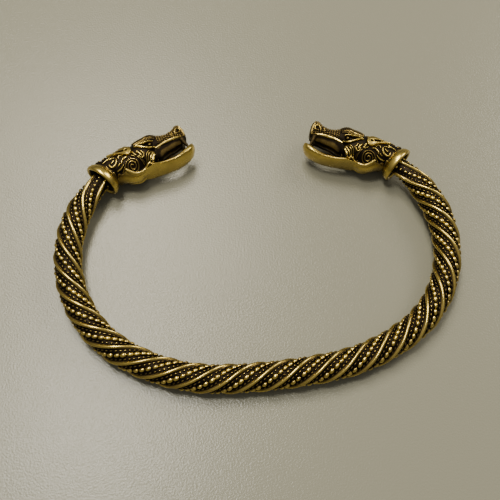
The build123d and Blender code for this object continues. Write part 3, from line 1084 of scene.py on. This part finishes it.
class CUFF_OT_band(bpy.types.Operator):
    """Make the band's smooth wires and dark ground"""

    bl_idname = "cuff.band"
    bl_label = "Twisted Band"

    def execute(self, context):
        sizes = context.scene.cuff_band
        distance = np.linspace(0.0, BAND_LENGTH, BAND_ROWS)
        columns = COLUMNS_PER_WIRE * sizes.starts
        place = np.linspace(-0.5, sizes.starts - 0.5, columns, endpoint=False)
        centre, _, outward = band_line(distance)
        wire = ridge((place + 0.5) % 1.0 - 0.5, WIRE_HALF_WIDTH, 1.0)
        reach = band_reach(distance, sizes)
        depth = sizes.ground_depth / MM * reach / reach.max()
        radius = reach[:, None] - depth[:, None] * (1.0 - wire)[None, :]
        angle = twist_angle(place[None, :], distance[:, None], sizes)
        points = (
            centre[:, None, :]
            + (radius * np.cos(angle))[..., None] * outward[:, None, :]
            + (radius * np.sin(angle))[..., None] * UP
        )
        patina_and_painted_light = np.repeat((1.0 - 0.90 * rise(wire, 0.22, 0.80))[None, :], BAND_ROWS, axis=0)
        piece = fill_mesh(
            "band_wires",
            seat(tube(points)) * MM,
            skin_faces(BAND_ROWS, columns),
            tube_values(patina_and_painted_light),
            plated("twist_plating", context.scene.cuff_colours),
        )
        ride_and_stand_for(piece, "twisted_band")
        return {"FINISHED"}


def bead(rings, segments):
    """A unit ball as points and faces: circles between two poles, its outward side along +Z."""
    lift = np.linspace(0.0, np.pi, rings + 2)[1:-1]
    ring = circles(np.cos(lift), np.sin(lift), segments)[..., [1, 2, 0]]
    points = np.concatenate([ring.reshape(-1, 3), [[0.0, 0.0, 1.0], [0.0, 0.0, -1.0]]])
    return points, skin_faces(rings, segments, flip=True)


def bead_row(turns, pitch, size, depth, sizes, shape, rng):
    """Beads along one place of the twist: a unit ball is carried to every station, stretched along the
    helix and a little uneven. Towards each collar the beads get smaller and sink in."""
    count = int(round(BAND_LENGTH / pitch))
    drift = rng.uniform(-BEAD_DRIFT, BEAD_DRIFT, count)
    distance = (np.arange(count) + 0.5 + drift) * BAND_LENGTH / count
    centre, heading, outward = band_line(distance)
    reach = band_reach(distance, sizes)
    angle = twist_angle(turns, distance, sizes)
    normal = np.cos(angle)[:, None] * outward + np.sin(angle)[:, None] * UP
    across = -np.sin(angle)[:, None] * outward + np.cos(angle)[:, None] * UP
    slope = reach * np.gradient(angle, distance)
    along = heading + slope[:, None] * across
    along /= np.linalg.norm(along, axis=1, keepdims=True)
    beside = np.cross(normal, along)
    fullness = rise(from_rim(distance), 0.5, 6.0)
    scale = reach / reach.max() * (BEAD_LEAST + (1.0 - BEAD_LEAST) * fullness)
    scale = scale * (1.0 + rng.uniform(-BEAD_UNEVENNESS, BEAD_UNEVENNESS, count))
    sunk = depth + BEAD_SINK * (1.0 - fullness)
    points = (centre + normal * (reach - sunk - size[2] * scale)[:, None])[:, None, :]
    for k, way in enumerate((along, beside, normal)):
        points = points + (size[k] * scale)[:, None, None] * shape[None, :, k : k + 1] * way[:, None, :]
    return points.reshape(-1, 3), count


class CUFF_OT_beads(bpy.types.Operator):
    """Make the large and the fine beaded rows between the wires"""

    bl_idname = "cuff.beads"
    bl_label = "Beaded Rows"

    def rows(self, context, name, places, spacing, size, depth, grid, wear_and_glint):
        """One mesh with all beads of like rows, each row at its own place between the wires."""
        sizes = context.scene.cuff_band
        pitch = spacing * (sizes.bead_pitch / MM)
        rng = np.random.default_rng(BEAD_SEED)
        shape, ball_faces = bead(*grid)
        along, beside, up = np.abs(shape.T)
        add_along, add_beside, low, high, polish = wear_and_glint
        # the tops are made bright as worn polish and as painted glints, and the half towards the band is dark
        wear_and_painted_light = polish * rise(up + add_along * along + add_beside * beside, low, high)
        dark = 1.0 - wear_and_painted_light + (shape[:, 2] < 0)
        points, faces, patina_and_painted_light = [], [[], []], []
        total = 0
        for start in range(sizes.starts):
            for place in places:
                row, count = bead_row(start + place, pitch, size, depth, sizes, shape, rng)
                shift = (total + np.arange(count) * len(shape))[:, None, None]
                for k, face in enumerate(ball_faces):
                    faces[k].append((face[None] + shift).reshape(-1, face.shape[1]))
                points.append(row)
                patina_and_painted_light.append(np.tile(dark, count))
                total += len(row)
        piece = fill_mesh(
            name,
            seat(np.concatenate(points)) * MM,
            [np.concatenate(group) for group in faces],
            np.concatenate(patina_and_painted_light),
            plated("twist_plating", context.scene.cuff_colours),
        )
        ride_and_stand_for(piece, "twisted_band")

    def execute(self, context):
        for name, row in BEADS.items():
            self.rows(context, name, *row)
        return {"FINISHED"}


class CUFF_OT_heads(bpy.types.Operator):
    """Make the carved body and upper jaw of both heads"""

    bl_idname = "cuff.heads"
    bl_label = "Carved Heads"

    def execute(self, context):
        sizes = context.scene.cuff_head
        points, patina_and_painted_light = head_body(sizes)
        material = plated("carved_plating", context.scene.cuff_colours)
        for side in SIDES:
            head_skin(side, "body", points, patina_and_painted_light, head_points(tube(points), side, sizes), material)
        return {"FINISHED"}


class CUFF_OT_jaws(bpy.types.Operator):
    """Make the smooth lower jaws and the front teeth"""

    bl_idname = "cuff.jaws"
    bl_label = "Lower Jaws"

    def execute(self, context):
        sizes = context.scene.cuff_head
        material = plated("polished_plating", context.scene.cuff_colours)
        points, patina_and_painted_light = lower_jaw(sizes)
        teeth = fangs(sizes)
        rows, columns = teeth[0].shape[:2]
        each = rows * columns + 2
        for side in SIDES:
            head_skin(side, "jaw", points, patina_and_painted_light, head_points(tube(points), side, sizes), material)
            faces = skin_faces(rows, columns, flip=side == "left")
            head_piece(
                side,
                "fangs",
                head_points(np.concatenate([tube(tooth) for tooth in teeth]), side, sizes),
                [np.concatenate([face, face + each]) for face in faces],
                np.full(2 * each, FANG_SHADE),
                material,
            )
        return {"FINISHED"}


class CUFF_OT_collars(bpy.types.Operator):
    """Make the flared collars that hold the band's ends"""

    bl_idname = "cuff.collars"
    bl_label = "Collars"

    def execute(self, context):
        points, patina_and_painted_light = collar()
        material = plated("polished_plating", context.scene.cuff_colours)
        for side in SIDES:
            head_skin(side, "collar", points, patina_and_painted_light, collar_points(tube(points), side), material)
        return {"FINISHED"}


class CUFF_OT_stage(bpy.types.Operator):
    """Make the table top, the soft lights and the camera"""

    bl_idname = "cuff.stage"
    bl_label = "Stage"

    def soft_light(self, name, place, size, power, colour):
        """A square lamp that faces the cuff."""
        lamp = bpy.data.lights.new(name, "AREA")
        lamp.size = size
        lamp.energy = power
        lamp.color = colour
        light = bpy.data.objects.new(name, lamp)
        light.location = place
        light.rotation_euler = (-Vector(place)).to_track_quat("-Z", "Y").to_euler()
        bpy.context.scene.collection.objects.link(light)

    def room_light(self, scene):
        """The world's glow, whose strength follows the height of the way it comes from."""
        scene.world = scene.world or bpy.data.worlds.new("studio")
        scene.world.use_nodes = True
        tree = scene.world.node_tree
        way = added(tree, "ShaderNodeTexCoord", {}).outputs["Generated"]
        lift = added(tree, "ShaderNodeSeparateXYZ", {"Vector": way}).outputs["Z"]
        glow = added(tree, "ShaderNodeMapRange", {"Value": lift, **SKY_RAMP}).outputs["Result"]
        feed(tree, tree.nodes["Background"], {"Color": SKY_COLOUR, "Strength": glow})

    def view(self, scene):
        """The camera, from its turns, its distance and the point in its middle."""
        azimuth, pitch, roll = np.radians(CAMERA_TURNS)
        target = np.array(CAMERA_TARGET) * MM
        ahead = np.array(
            [np.cos(pitch) * np.sin(azimuth), np.cos(pitch) * np.cos(azimuth), -np.sin(pitch)]
        )
        level = np.array([np.cos(azimuth), -np.sin(azimuth), 0.0])
        upright = np.cross(level, ahead)
        sideways = level * np.cos(roll) - upright * np.sin(roll)
        upwards = level * np.sin(roll) + upright * np.cos(roll)
        spot = target - ahead * CAMERA_DISTANCE * MM
        turn = Matrix([list(row) for row in np.stack([sideways, upwards, -ahead], 1)]).to_4x4()
        lens = bpy.data.cameras.new("camera")
        lens.sensor_width = SENSOR_WIDTH
        lens.lens = FOCAL_LENGTH
        lens.clip_start = CLIP_START
        camera = bpy.data.objects.new("camera", lens)
        camera.matrix_world = Matrix.Translation(spot.tolist()) @ turn
        scene.collection.objects.link(camera)
        scene.camera = camera

    def execute(self, context):
        corners = [(TABLE_HALF * x, TABLE_HALF * y, 0.0) for x, y in ((-1, -1), (1, -1), (1, 1), (-1, 1))]
        mesh = bpy.data.meshes.new("table_top")
        mesh.from_pydata(corners, [], [(0, 1, 2, 3)])
        mesh.materials.append(table_top(context.scene.cuff_colours))
        table = bpy.data.objects.new("table_top", mesh)
        context.scene.collection.objects.link(table)
        self.room_light(context.scene)
        for name, lamp in LAMPS.items():
            self.soft_light(name, *lamp)
        self.view(context.scene)
        return {"FINISHED"}


class CUFF_PT_panel(bpy.types.Panel):
    """The cuff's operators and settings"""

    bl_idname = "CUFF_PT_panel"
    bl_label = "Cuff"
    bl_space_type = "VIEW_3D"
    bl_region_type = "UI"
    bl_category = "Cuff"

    def draw(self, context):
        layout = self.layout
        for settings in (context.scene.cuff_band, context.scene.cuff_head, context.scene.cuff_colours):
            box = layout.box()
            for label in settings.__annotations__:
                box.prop(settings, label)
        for operator in OPERATORS:
            layout.operator(operator.bl_idname)


SETTINGS = {"cuff_band": CuffBandSizes, "cuff_head": CuffHeadSizes, "cuff_colours": CuffColours}
OPERATORS = (CUFF_OT_stage, CUFF_OT_band, CUFF_OT_beads, CUFF_OT_heads, CUFF_OT_jaws, CUFF_OT_collars)


def register():
    for group in SETTINGS.values():
        bpy.utils.register_class(group)
    for operator in OPERATORS:
        bpy.utils.register_class(operator)
    bpy.utils.register_class(CUFF_PT_panel)
    for name, group in SETTINGS.items():
        setattr(bpy.types.Scene, name, PointerProperty(type=group))


def unregister():
    for name in SETTINGS:
        delattr(bpy.types.Scene, name)
    bpy.utils.unregister_class(CUFF_PT_panel)
    for operator in reversed(OPERATORS):
        bpy.utils.unregister_class(operator)
    for group in reversed(SETTINGS.values()):
        bpy.utils.unregister_class(group)


def main():
    """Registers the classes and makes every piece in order."""
    register()
    bpy.ops.cuff.stage()
    bpy.ops.cuff.band()
    bpy.ops.cuff.beads()
    bpy.ops.cuff.heads()
    bpy.ops.cuff.jaws()
    bpy.ops.cuff.collars()


if __name__ == "__main__":
    main()
